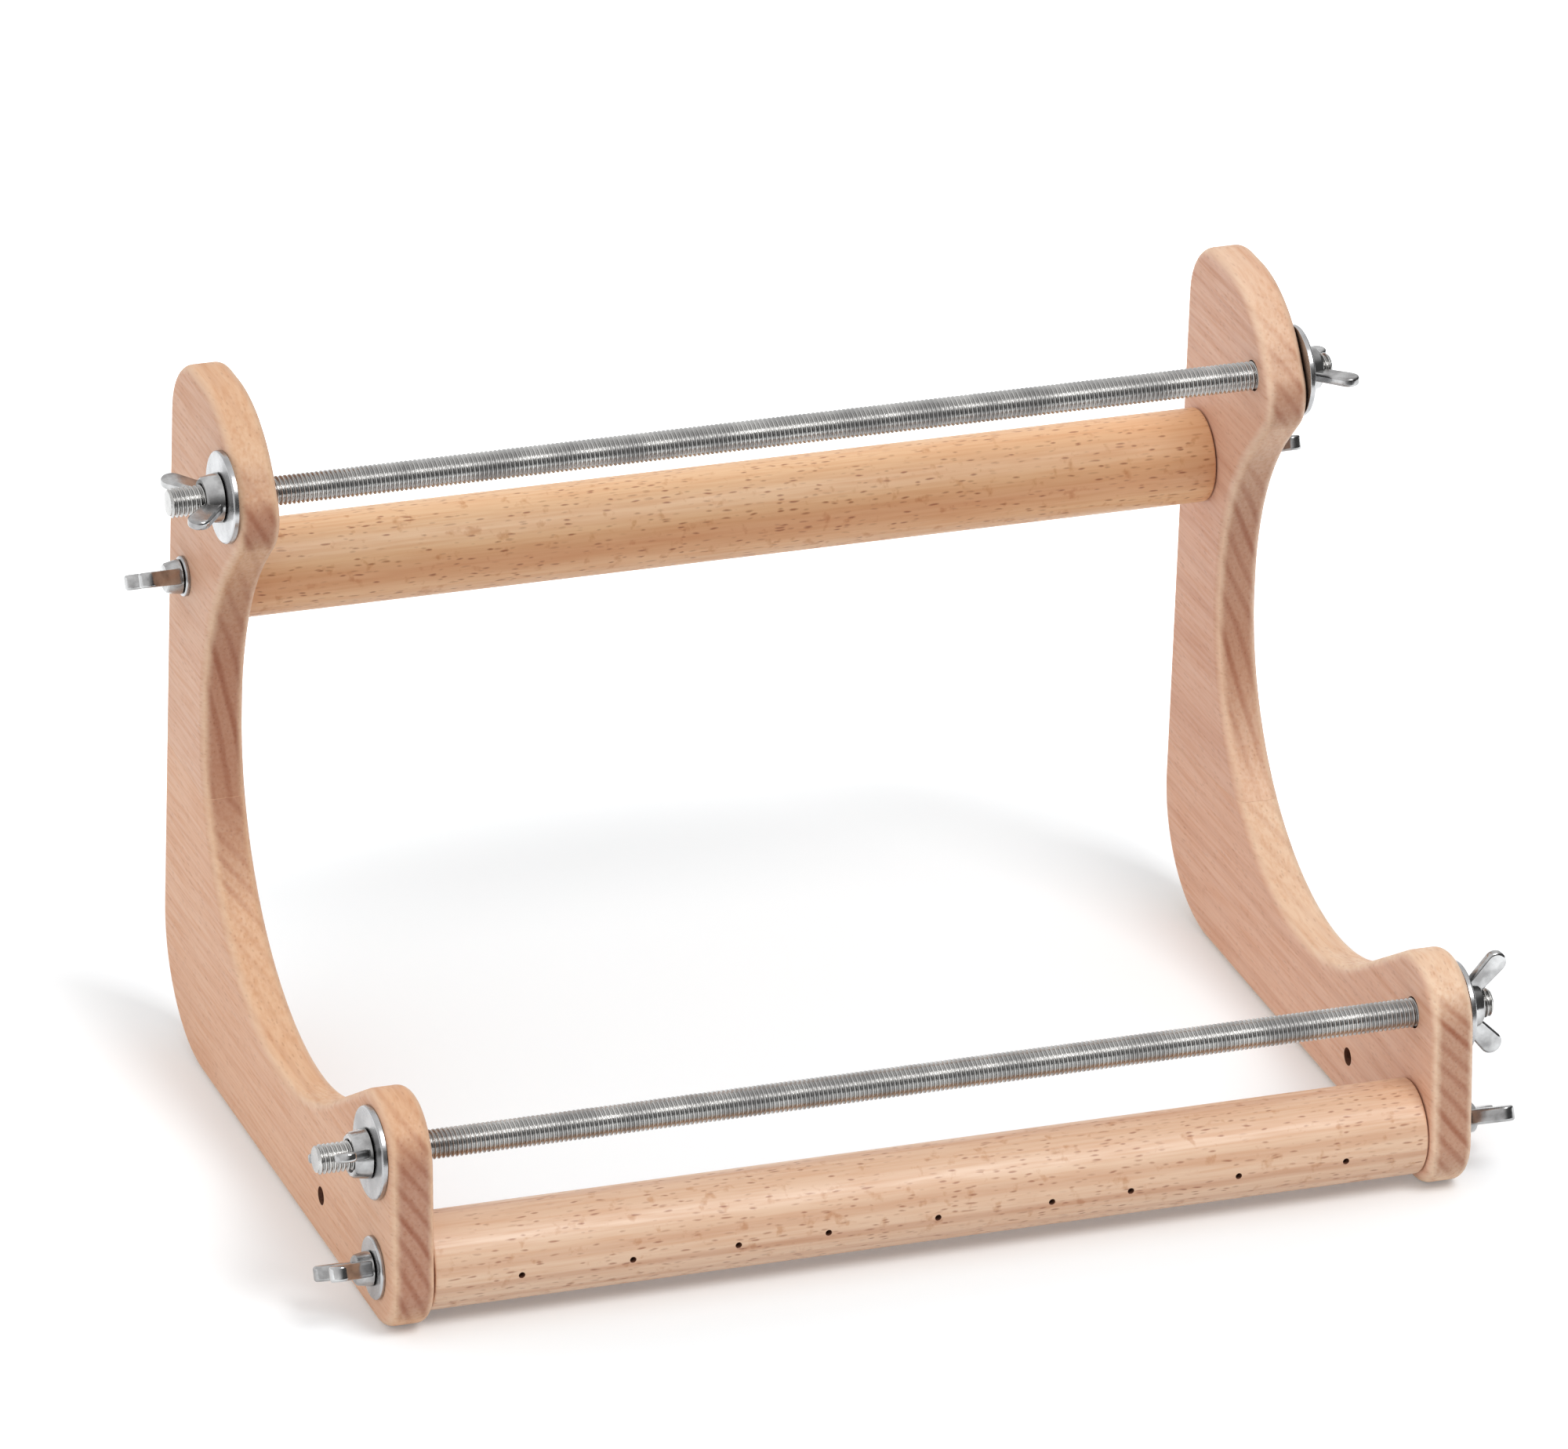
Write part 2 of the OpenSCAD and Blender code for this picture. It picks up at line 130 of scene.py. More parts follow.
# %% Growth rings
def growth_rings(tree, place, slow, across, heart_mm, ring_mm):
    """Late wood of each year, from 0 to 1: waves in the distance from the heart of the tree, bent
    by up to 6 mm by slow noise. Some years are stronger than others: that noise takes more than
    two rings to change."""
    heart = add(tree, "ShaderNodeVectorMath", {
        0: place, 1: [v * MM for v in heart_mm]}, operation="SUBTRACT")
    heart = add(tree, "ShaderNodeVectorMath", {0: heart, 1: across}, operation="MULTIPLY")
    radius = add(tree, "ShaderNodeVectorMath", {0: heart}, operation="LENGTH")
    sway = add(tree, "ShaderNodeTexNoise", {"Vector": slow, "Scale": 1 / (60 * MM), "Detail": 2.0})
    bent = add(tree, "ShaderNodeMath", {0: sway, 1: 6 * MM, 2: radius}, operation="MULTIPLY_ADD")
    year = add(tree, "ShaderNodeMath", {
        0: bent, 1: 2 * math.pi / (ring_mm * MM)}, operation="MULTIPLY")
    late = add(tree, "ShaderNodeMath", {0: year}, operation="SINE")
    late = add(tree, "ShaderNodeMapRange", {"Value": late, "From Min": -0.1, "From Max": 1.0})
    each = add(tree, "ShaderNodeMath", {0: year, 1: 0.07}, operation="MULTIPLY")
    each = add(tree, "ShaderNodeTexNoise", {
        "W": each, "Scale": 1.0, "Detail": 1.0}, noise_dimensions="1D")
    each = add(tree, "ShaderNodeMapRange", {
        "Value": each, "From Min": 0.35, "From Max": 0.65, "To Min": 0.15})
    return add(tree, "ShaderNodeMath", {0: late, 1: each}, operation="MULTIPLY")


# %% Rays
def ray_dashes(tree, place, drawn_out):
    """Rays as dashes, from 0 to 1: cells of 1 mm, drawn out along the fibre and bent a little.
    Each cell has its own strength."""
    wavy = add(tree, "ShaderNodeTexNoise", {
        "Vector": place, "Scale": 1 / (6.25 * MM), "Detail": 1.0}).outputs["Color"]
    wavy = add(tree, "ShaderNodeVectorMath", {
        0: wavy, 1: (1.1 * MM,) * 3, 2: drawn_out}, operation="MULTIPLY_ADD")
    cells = add(tree, "ShaderNodeTexVoronoi", {"Vector": wavy, "Scale": 1 / (1.0 * MM)}).outputs
    dash = add(tree, "ShaderNodeMapRange", {
        "Value": cells["Distance"],
        "From Min": 0.15, "From Max": 0.36, "To Min": 1.0, "To Max": 0.0})
    some = add(tree, "ShaderNodeSeparateXYZ", {0: cells["Color"]}).outputs["X"]
    some = add(tree, "ShaderNodeMapRange", {"Value": some, "From Min": 0.2, "From Max": 0.8})
    return add(tree, "ShaderNodeMath", {0: dash, 1: some}, operation="MULTIPLY")


# %% Sanded and turned beech
def beech(name, face, edge, end_grain, fibre, heart_mm, ring_mm, depths, flecks, specks, gloss,
          shift):
    """Unvarnished beech. The fibre runs along 'X' or 'Y', heart_mm is a place on the axis of the
    growth rings, and depths says how strongly they show on faces, edges and ends. flecks and
    specks are the strengths of rays and of small golden marks, gloss is the roughness of the
    smoothest and the roughest fibre, and shift moves every pattern but the rings."""
    material, tree = blank_finish(name)
    coords = add(tree, "ShaderNodeTexCoord").outputs
    along, across = ((1, 0, 0), (0, 1, 1)) if fibre == "X" else ((0, 1, 0), (1, 0, 1))
    place = add(tree, "ShaderNodeVectorMath", {
        0: coords["Object"], 1: (shift, shift, shift)}, operation="ADD")
    drawn_out = {}
    for ratio in (4, 8, 24):
        squeeze = [a / ratio + b for a, b in zip(along, across)]
        drawn_out[ratio] = add(tree, "ShaderNodeVectorMath", {
            0: place, 1: squeeze}, operation="MULTIPLY")
    ring = growth_rings(tree, coords["Object"], drawn_out[8], across, heart_mm, ring_mm)
    dash = ray_dashes(tree, place, drawn_out[4])

    # Which way the surface looks: along the board's own normal, along the fibre, or neither
    looks = add(tree, "ShaderNodeSeparateXYZ", {0: coords["Normal"]}).outputs
    sideways = add(tree, "ShaderNodeMath", {0: looks["X"]}, operation="ABSOLUTE")
    lying = add(tree, "ShaderNodeMapRange", {
        "Value": sideways, "From Min": 0.6, "From Max": 0.97})
    lengthways = add(tree, "ShaderNodeMath", {0: looks[fibre]}, operation="ABSOLUTE")
    cut = add(tree, "ShaderNodeMapRange", {
        "Value": lengthways, "From Min": 0.72, "From Max": 0.98})
    colour = add(tree, "ShaderNodeMix", {
        "Factor": lying, "A": linear(edge), "B": linear(face)}, data_type="RGBA")
    colour = add(tree, "ShaderNodeMix", {
        "Factor": cut, "A": colour, "B": linear(end_grain)}, data_type="RGBA")
    depth = add(tree, "ShaderNodeMapRange", {
        "Value": cut, "To Min": depths[1], "To Max": depths[2]})
    depth = add(tree, "ShaderNodeMix", {
        "Factor": lying, "A": depth, "B": depths[0]}, data_type="FLOAT")

    # Slow clouds, rings, fine fibre, rays and marks, each a share of a darker tone. The fibre is
    # drawn 0.5 mm wide, coarser than the real one, which would be too fine to show
    cloud = add(tree, "ShaderNodeTexNoise", {
        "Vector": drawn_out[8], "Scale": 1 / (32 * MM), "Detail": 2.0})
    cloud = add(tree, "ShaderNodeMapRange", {"Value": cloud, "From Min": 0.35, "From Max": 0.65})
    shown = add(tree, "ShaderNodeMath", {0: ring, 1: depth}, operation="MULTIPLY")
    fine = add(tree, "ShaderNodeTexNoise", {
        "Vector": drawn_out[24], "Scale": 1 / (1.0 * MM), "Detail": 3.0})
    thread = add(tree, "ShaderNodeMapRange", {"Value": fine, "From Min": 0.4, "From Max": 0.7})
    ray = add(tree, "ShaderNodeMath", {0: dash, 1: flecks}, operation="MULTIPLY")
    mark = add(tree, "ShaderNodeTexNoise", {
        "Vector": place, "Scale": 1 / (4 * MM), "Detail": 3.0})
    mark = add(tree, "ShaderNodeMapRange", {
        "Value": mark, "From Min": 0.6, "From Max": 0.72, "To Max": specks})
    for share, tone in ((cloud, "#F7EEE8"), (shown, "#CFA48C"), (thread, "#F6EBE3"),
                        (ray, "#A0623F"), (mark, "#CFA069")):
        colour = add(tree, "ShaderNodeMix", {"Factor": share, "A": colour, "B": linear(tone)},
                     data_type="RGBA", blend_type="MULTIPLY")

    # Round-overs were sanded by hand and are touched most, so they are a little paler and
    # smoother. With s the sideways share of the normal, s * s * (1 - s * s) is largest half
    # way round
    squared = add(tree, "ShaderNodeMath", {0: sideways, 1: sideways}, operation="MULTIPLY")
    rest = add(tree, "ShaderNodeMath", {0: 1.0, 1: squared}, operation="SUBTRACT")
    touched = add(tree, "ShaderNodeMath", {0: squared, 1: rest}, operation="MULTIPLY")
    colour = add(tree, "ShaderNodeMix", {
        "Factor": touched, "A": colour, "B": linear("#F6DDC2")}, data_type="RGBA")
    rough = add(tree, "ShaderNodeMapRange", {
        "Value": fine, "From Min": 0.35, "From Max": 0.7, "To Min": gloss[0], "To Max": gloss[1]})
    rough = add(tree, "ShaderNodeMath", {
        0: touched, 1: -0.3, 2: rough}, operation="MULTIPLY_ADD")

    # Fibres stand up a little, and late wood and rays lie lower
    relief = add(tree, "ShaderNodeMath", {0: fine, 1: 0.5}, operation="MULTIPLY")
    relief = add(tree, "ShaderNodeMath", {0: ring, 1: -0.3, 2: relief}, operation="MULTIPLY_ADD")
    relief = add(tree, "ShaderNodeMath", {0: dash, 1: -1.2, 2: relief}, operation="MULTIPLY_ADD")
    bump = add(tree, "ShaderNodeBump", {"Height": relief, "Strength": 0.4, "Distance": 0.05 * MM})
    shader = add(tree, "ShaderNodeBsdfPrincipled", {
        "Base Color": colour, "Roughness": rough, "IOR": 1.5, "Normal": bump})
    add(tree, "ShaderNodeOutputMaterial", {"Surface": shader})
    return material


# %% [markdown]
# ## Drilled holes
# A drill rubs the wall of its hole until it is brown and dull, and the wall is painted darker
# still, as shade inside the hole. The cutter that makes a hole carries this finish and leaves it
# on the wall, so no face has to be picked by hand.

# %% Drilled beech
def painted_shade_bore():
    """Wall of a drilled hole: burnished, browned beech, painted darker as shade inside the hole."""
    material, tree = blank_finish("painted_shade_bore")
    place = add(tree, "ShaderNodeTexCoord").outputs["Object"]
    mottle = add(tree, "ShaderNodeTexNoise", {
        "Vector": place, "Scale": 1 / (1.2 * MM), "Detail": 2.0})
    # Painted shade: the wall is mottled between two dark browns, darker than drilled beech
    colour = add(tree, "ShaderNodeMix", {
        "Factor": mottle, "A": linear("#8A5840"), "B": linear("#40241A")}, data_type="RGBA")
    rough = add(tree, "ShaderNodeMapRange", {"Value": mottle, "To Min": 0.6, "To Max": 0.95})
    bump = add(tree, "ShaderNodeBump", {"Height": mottle, "Strength": 0.3, "Distance": 0.1 * MM})
    shader = add(tree, "ShaderNodeBsdfPrincipled", {
        "Base Color": colour, "Roughness": rough, "Normal": bump})
    add(tree, "ShaderNodeOutputMaterial", {"Surface": shader})
    return material


bore_finish = painted_shade_bore()
print("finish of drilled holes:", bore_finish.name)

# %% [markdown]
# ## A finish for every board and roller
# Each plank comes from another place in the tree. Where the heart lies far to the side, the
# rings are straight lines on the face. Where it lies in the board's own plane, they are broad
# bands. So each piece gets its own heart, ring width and tone, and the rest is shared.

# %% Finish of each board and roller
PLANK = {"fibre": "Y", "flecks": 0.22, "specks": 0.1, "gloss": (0.5, 0.66)}
DOWEL = {"fibre": "X", "end_grain": "#C0957C", "gloss": (0.34, 0.5)}
board_finish = {
    "left_upper_board": beech(
        "sanded_beech_left_upper", face="#E6BB9F", edge="#E4BB97", end_grain="#BB8B71",
        heart_mm=(-340, 0, 60), ring_mm=4.6, depths=(0.13, 0.25, 0.8), shift=0.0, **PLANK),
    "left_lower_board": beech(
        "sanded_beech_left_lower", face="#E8BA9A", edge="#E4BA96", end_grain="#BC8E76",
        heart_mm=(-300, 0, -70), ring_mm=4.2, depths=(0.13, 0.3, 0.9), shift=1.7, **PLANK),
    "right_upper_board": beech(
        "sanded_beech_right_upper", face="#E8BDA4", edge="#E9C5A8", end_grain="#C0957C",
        heart_mm=(-40, 0, 30), ring_mm=4.4, depths=(0.26, 0.25, 0.8), shift=3.1, **PLANK),
    "right_lower_board": beech(
        "sanded_beech_right_lower", face="#EBBFA4", edge="#EBCAAC", end_grain="#C0957C",
        heart_mm=(0, 0, -90), ring_mm=4.2, depths=(0.24, 0.3, 0.9), shift=4.3, **PLANK),
}
roller_finish = {
    "upper_roller": beech(
        "turned_beech_upper", face="#F5CB9F", edge="#F5CB9F", heart_mm=(0, 60, 260), ring_mm=20.0,
        depths=(1.0, 1.0, 1.0), flecks=0.7, specks=0.5, shift=5.9, **DOWEL),
    "lower_roller": beech(
        "turned_beech_lower", face="#E9C9AD", edge="#E9C9AD", heart_mm=(0, -150, 120), ring_mm=5.5,
        depths=(0.5, 0.5, 0.5), flecks=0.6, specks=0.45, shift=7.3, **DOWEL),
}
print("wood finishes:", len(board_finish) + len(roller_finish) + 1)

# %% [markdown]
# ## Zinc and brass
# The rods, washers, wing nuts and wing bolts are steel with a bright zinc coat: pale, a little
# blue, neither mirror nor matt. The coat is uneven at the scale of a millimetre and carries
# fine rubs. Metallic is 1, so the base colour is what the metal reflects. A plain grey metal
# would look like plastic, because zinc is told by its clouds, its dark corners, which are
# painted shade, and its bare edges. One recipe with other numbers serves the thread, the
# washers, the wings and the brass.

# %% Metal finishes
def plated(name, bright, dull, corner_shade, rough, cloud_mm, grain_mm, relief_mm):
    """Metal coat with cloudy gloss, fine grain, painted shade in its corners, and bare, shinier
    edges.
    """
    material, tree = blank_finish(name)
    place = add(tree, "ShaderNodeTexCoord").outputs["Object"]
    # One cloud or grain is about half a period of its noise
    cloud = add(tree, "ShaderNodeTexNoise", {
        "Vector": place, "Scale": 0.5 / (cloud_mm * MM), "Detail": 4.0})
    grain = add(tree, "ShaderNodeTexNoise", {
        "Vector": place, "Scale": 0.5 / (grain_mm * MM), "Detail": 3.0})
    patch = add(tree, "ShaderNodeMapRange", {"Value": cloud, "From Min": 0.35, "From Max": 0.65})
    colour = add(tree, "ShaderNodeMix", {
        "Factor": patch, "A": linear(bright), "B": linear(dull)}, data_type="RGBA")

    # Painted shade darkens the corners, where little light reaches, and edges are rubbed bare
    corner = add(tree, "ShaderNodeAmbientOcclusion", {"Distance": 1.5 * MM}, samples=6)
    corner = add(tree, "ShaderNodeMapRange", {
        "Value": corner.outputs["AO"],
        "From Min": 0.15, "From Max": 0.75, "To Min": 1.0, "To Max": 0.0})
    colour = add(tree, "ShaderNodeMix", {
        "Factor": corner, "A": colour, "B": linear(corner_shade)}, data_type="RGBA")
    softened = add(tree, "ShaderNodeBevel", {"Radius": 0.4 * MM}, samples=4)
    true_normal = add(tree, "ShaderNodeNewGeometry").outputs["Normal"]
    edge = add(tree, "ShaderNodeVectorMath", {0: softened, 1: true_normal}, operation="DOT_PRODUCT")
    edge = add(tree, "ShaderNodeMapRange", {
        "Value": edge, "From Min": 0.8, "From Max": 0.98, "To Min": 0.6, "To Max": 0.0})
    bare = add(tree, "ShaderNodeMapRange", {"Value": grain, "From Min": 0.35, "From Max": 0.6})
    worn = add(tree, "ShaderNodeMath", {0: edge, 1: bare}, operation="MULTIPLY")
    colour = add(tree, "ShaderNodeMix", {
        "Factor": worn, "A": colour, "B": linear("#E4E2DC")}, data_type="RGBA")

    # rough is the roughness of the smoothest and the roughest patch, and bare metal is smoother
    gloss = add(tree, "ShaderNodeMath", {0: grain, 1: 0.4, 2: cloud}, operation="MULTIPLY_ADD")
    gloss = add(tree, "ShaderNodeMapRange", {
        "Value": gloss, "From Min": 0.45, "From Max": 0.95, "To Min": rough[0], "To Max": rough[1]})
    gloss = add(tree, "ShaderNodeMath", {0: worn, 1: -0.13, 2: gloss}, operation="MULTIPLY_ADD")
    bump = add(tree, "ShaderNodeBump", {
        "Height": grain, "Strength": 0.3, "Distance": relief_mm * MM})
    shader = add(tree, "ShaderNodeBsdfPrincipled", {
        "Base Color": colour, "Roughness": gloss, "Metallic": 1.0, "Normal": bump})
    add(tree, "ShaderNodeOutputMaterial", {"Surface": shader})
    return material


# In each coat below, the darkest colour is the painted shade in its corners
rod_zinc = plated(
    "zinc_plated_thread", bright="#C6C5C3", dull="#A3A2A1", corner_shade="#3A3836",
    rough=(0.18, 0.36), cloud_mm=5, grain_mm=0.4, relief_mm=0.02)
washer_zinc = plated(
    "zinc_plated_washer", bright="#BDBDBE", dull="#A5A5A6", corner_shade="#454342",
    rough=(0.18, 0.34), cloud_mm=4, grain_mm=0.4, relief_mm=0.02)
wing_zinc = plated(
    "zinc_plated_casting", bright="#C2C2C2", dull="#8E8D8D", corner_shade="#343231",
    rough=(0.1, 0.28), cloud_mm=2.5, grain_mm=0.8, relief_mm=0.1)
brass = plated(
    "turned_brass", bright="#C9A961", dull="#A98B48", corner_shade="#4A3A20",
    rough=(0.25, 0.4), cloud_mm=3, grain_mm=0.3, relief_mm=0.02)
print("metal finishes: 4")

# %% [markdown]
# ## Helpers for pieces
# A piece starts as a bmesh, the kind of mesh that code can edit. One helper turns it into an
# object with its finish. One cuts it, or joins others to it, as a drill or a saw would. The
# last gives it smooth shading and the body that it rides on, and hides the CAD node that it
# stands for.

# %% Objects, cuts and rides
def new_piece(name, bm, finish):
    """Object from a bmesh, which is used up, with its finish."""
    bmesh.ops.recalc_face_normals(bm, faces=bm.faces)
    mesh = bpy.data.meshes.new(name)
    bm.to_mesh(mesh)
    bm.free()
    mesh.materials.append(finish)
    piece = bpy.data.objects.new(name, mesh)
    bpy.context.scene.collection.objects.link(piece)
    return piece


def carve(piece, cutters, operation="DIFFERENCE"):
    """Cuts, joins or keeps by other solids, which are used up. New faces take their finish."""
    for cutter in cutters:
        modifier = piece.modifiers.new("cut", "BOOLEAN")
        modifier.object, modifier.operation, modifier.solver = cutter, operation, "EXACT"
        modifier.material_mode = "TRANSFER"
    bpy.context.view_layer.update()
    shaped = piece.evaluated_get(bpy.context.evaluated_depsgraph_get())
    old, piece.data = piece.data, bpy.data.meshes.new_from_object(shaped)
    piece.data.name = piece.name
    piece.modifiers.clear()
    bpy.data.meshes.remove(old)
    for cutter in cutters:
        bpy.data.objects.remove(cutter)


def dress(piece, body, node, crease=35, rim_mm=0.0):
    """Gives a piece smooth shading and its body, and hides the node it stands for. Edges sharper
    than crease degrees stay crisp, or get a fine bevel of rim_mm."""
    piece.data.shade_smooth()
    if rim_mm:
        bevel = piece.modifiers.new("rims", "BEVEL")
        bevel.width, bevel.segments, bevel.limit_method = rim_mm * MM, 2, "ANGLE"
        bevel.angle_limit, bevel.harden_normals = math.radians(crease), True
    else:
        piece.data.set_sharp_from_angle(angle=math.radians(crease))
    even = piece.modifiers.new("even_normals", "WEIGHTED_NORMAL")
    even.keep_sharp = True
    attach(piece, body)
    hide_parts(node)
    print(f"{piece.name}: {len(piece.data.vertices)} points, rides on {body}")


# %% [markdown]
# ## Turned and sawn shapes
# Most pieces here are either turned on a lathe or cut from sheet with rounded edges, so two
# mesh makers do nearly all the work. One turns a half section about an axis. The other fills an
# outline and rounds both rims, and its outline is a belt laid tightly around circles.

# %% Turned shapes
def turned(bm, profile, matrix, steps=96):
    """Solid turned about local Z from (radius, height) points. A profile that starts on the axis
    also ends there, and one that starts away from it closes on itself as a ring."""
    rings = []
    for radius, height in profile:
        if radius == 0:
            rings.append([bm.verts.new(matrix @ Vector((0, 0, height)))])
            continue
        angles = [2 * math.pi * k / steps for k in range(steps)]
        points = [Vector((radius * math.cos(a), radius * math.sin(a), height)) for a in angles]
        rings.append([bm.verts.new(matrix @ point) for point in points])
    closed = len(rings[0]) > 1
    for i in range(len(rings) if closed else len(rings) - 1):
        low, high = rings[i], rings[(i + 1) % len(rings)]
        for k in range(steps):
            corners = [low[k % len(low)], low[(k + 1) % len(low)],
                       high[(k + 1) % len(high)], high[k % len(high)]]
            bm.faces.new(list(dict.fromkeys(corners)))


def rounded(radius, height, bend, steps=4):
    """Corner points of a turned edge, from its end face to its side: the corner (radius, height)
    is rounded by bend."""
    quarter = [math.pi / 2 * k / steps for k in range(steps + 1)]
    return [(radius - bend + bend * math.sin(a), height - bend + bend * math.cos(a))
            for a in quarter]


print("a corner rounded by 1 mm:", [(round(r, 2), round(h, 2)) for r, h in rounded(13, 140, 1)])


# %% Sawn shapes
def belt(circles, step):
    """Outline of a belt around circles (x, y, r), as points with outward normals, at most step
    degrees apart. A negative radius is a hollow that the belt bends round from outside."""
    def heading(a, b):
        dx, dy = b[0] - a[0], b[1] - a[1]
        return math.atan2(dy, dx) - math.acos((a[2] - b[2]) / math.hypot(dx, dy))

    points = []
    for i, (x, y, r) in enumerate(circles):
        first = heading(circles[i - 1], circles[i])
        last = heading(circles[i], circles[(i + 1) % len(circles)])
        turn = (last - first) % (2 * math.pi) if r > 0 else -((first - last) % (2 * math.pi))
        steps = max(1, math.ceil(abs(math.degrees(turn)) / step))
        for k in range(steps + 1):
            a = first + turn * k / steps
            points.append((x + r * math.cos(a), y + r * math.sin(a), math.cos(a), math.sin(a)))
    return points


def slab(bm, outline, thick, bend, matrix, steps):
    """Plate inside an outline, local Z from 0 to thick, with both rims rounded by bend."""
    quarter = [math.pi / 2 * k / steps for k in range(steps + 1)]
    levels = [(bend - bend * math.cos(a), bend - bend * math.sin(a)) for a in quarter]
    levels += [(thick - z, inset) for z, inset in reversed(levels)]
    rings = [[bm.verts.new(matrix @ Vector((x - inset * nx, y - inset * ny, z)))
              for x, y, nx, ny in outline] for z, inset in levels]
    count = len(outline)
    for low, high in zip(rings, rings[1:]):
        for k in range(count):
            bm.faces.new((low[k], low[(k + 1) % count], high[(k + 1) % count], high[k]))
    bm.faces.new(rings[0])
    bm.faces.new(rings[-1])


# %% [markdown]
# ## The side frames
# Each frame is sawn from a panel of two glued planks, the edges are rounded over by a router,
# and five holes are drilled through. One could trace the outline as a curve, but its tangents
# would never be quite true. A belt around circles, as a draughtsman would set it out, bends
# smoothly everywhere. The frame is made whole, drilled, and then parted along the glue seam.

# %% Sizes of the side frame
GAP, THICK, DEPTH, HEIGHT = 280 * MM, 12 * MM, 200 * MM, 200 * MM
OUTER = GAP / 2 + THICK
# Width of the neck at the back, height of the arm at the foot, radius of the wide cut
NECK, ARM, CUT = 32.5 * MM, 32.5 * MM, 72 * MM
ROUND_OVER = 3 * MM
SIDES = {"left": -1, "right": 1}


def side_view(back_mm, height_mm):
    """Model Y and Z of a place given by its distance from the back edge and its height."""
    return DEPTH / 2 - back_mm * MM, height_mm * MM


RODS = {"upper": side_view(49.5, 177), "lower": side_view(181.5, 47.5)}
ROLLERS = {"upper": side_view(15.5, 139), "lower": side_view(185, 15.5)}
ARM_HOLE = side_view(139.5, 14)
ROD_HOLE_R, BOLT_HOLE_R, ARM_HOLE_R = 4.25 * MM, 3.25 * MM, 2.5 * MM


def frame_circles():
    """The belt's circles, as distance from the back edge, height and radius, in metres."""
    heel_r, toe_r, lobe_r, shoulder_r = 36 * MM, 14 * MM, 17.5 * MM, 18 * MM
    lobe_x, lobe_z = DEPTH - 20.5 * MM, 45.5 * MM
    chin_r, crown_r, join = 12.5 * MM, 38.5 * MM, 0.5 * MM
    chin_x, chin_z = 61.5 * MM - chin_r, HEIGHT - 27.5 * MM
    # Cut and crown nearly touch the circle of the chin; join is the short straight between them
    cut_x = NECK + CUT
    cut_top = chin_z - math.sqrt((CUT + chin_r + join) ** 2 - (cut_x - chin_x) ** 2)
    way = crown_r - chin_r + join
    lean = math.asin((chin_z - HEIGHT + crown_r) / way)
    return [
        (heel_r, heel_r, heel_r),
        (DEPTH - toe_r, toe_r, toe_r),
        (lobe_x, lobe_z, lobe_r),
        (cut_x, ARM + CUT, -CUT),
        (cut_x, cut_top, -CUT),
        (chin_x, chin_z, chin_r),
        (chin_x - way * math.cos(lean), HEIGHT - crown_r, crown_r),
        (shoulder_r, HEIGHT - shoulder_r, shoulder_r),
    ]


frame_outline = belt(frame_circles(), step=2.0)
print("points on the outline:", len(frame_outline))


# %% Boards
def drill(place, radius):
    """Cutter for a hole through both frames along X."""
    bm = bmesh.new()
    across = Matrix.Translation((0, *place)) @ Matrix.Rotation(math.pi / 2, 4, "Y")
    reach = OUTER + 5 * MM
    turned(bm, [(0, -reach), (radius, -reach), (radius, reach), (0, reach)], across, steps=64)
    return new_piece("drill", bm, bore_finish)


def seam_block(side, height_mm, tilt, finish):
    """Block above the glue seam of a frame. height_mm is that of the seam at the back edge, and
    the seam climbs towards the front by tilt degrees."""
    bm = bmesh.new()
    bmesh.ops.create_cube(bm, size=1.0)
    low, high = Vector((-THICK, -(NECK + CUT), 0)), Vector((THICK, NECK, HEIGHT))
    place = (Matrix.Translation((side * (OUTER - THICK / 2), DEPTH / 2, height_mm * MM))
             @ Matrix.Rotation(math.radians(-tilt), 4, "X"))
    size = high - low
    bm.transform(place @ Matrix.Translation((low + high) / 2) @ Matrix.Diagonal((*size, 1)))
    return new_piece("seam_block", bm, finish)


def frame_solid(side, name, finish):
    """A whole side frame with its five holes. The outline is drawn with the back edge at the
    left, so its first number runs towards the front and its second upwards."""
    bm = bmesh.new()
    start = OUTER if side > 0 else -OUTER + THICK
    stand = Matrix(((0, 0, -1, start), (-1, 0, 0, DEPTH / 2), (0, 1, 0, 0), (0, 0, 0, 1)))
    slab(bm, frame_outline, THICK, ROUND_OVER, stand, steps=8)
    piece = new_piece(name, bm, finish)
    carve(piece, [drill(place, ROD_HOLE_R) for place in RODS.values()]
          + [drill(place, BOLT_HOLE_R) for place in ROLLERS.values()]
          + [drill(ARM_HOLE, ARM_HOLE_R)])
    return piece


# Height of the glue seam at the back edge in mm, and its tilt in degrees
SEAMS = {"left": (84.5, -4), "right": (46.5, 5)}
for side_name, side in SIDES.items():
    for part, operation in (("upper", "INTERSECT"), ("lower", "DIFFERENCE")):
        node = f"{side_name}_{part}_board"
        board = frame_solid(side, f"beech_{node}", board_finish[node])
        carve(board, [seam_block(side, *SEAMS[side_name], board_finish[node])], operation)
        dress(board, "frame", node, crease=40, rim_mm=0.15)

# %% [markdown]
# ## The rollers
# A roller is a turned dowel with its sharp end edges broken. Its ends are bored for a brass
# insert. The lower one has a row of nine fine holes for knotting the warp on; they are drilled
# by cutting cylinders out of the mesh, so that the holes are real. Their dark insides are partly
# real shade and partly painted shade on the walls.

# %% Rollers
ROLLER_R, ROLLER_HALF, END_BREAK = 13 * MM, GAP / 2 - 0.3 * MM, 0.8 * MM
# Bores in the ends, as radius and depth: the narrow one frees the tip of the bolt
INSERT_BORE, TIP_BORE = (4.5 * MM, 13 * MM), (3.25 * MM, 16.5 * MM)
# Warp holes: places as shares of half the roller, then radius, distance of the hole's floor and
# of the drill's upper end from the axis, and the aim in degrees from straight up
WARP_HOLES = [-0.83, -0.61, -0.4, -0.22, 0.0, 0.23, 0.39, 0.61, 0.83]
WARP_R, WARP_FLOOR, WARP_TOP, WARP_AIM = 0.9 * MM, 4 * MM, 15 * MM, 95


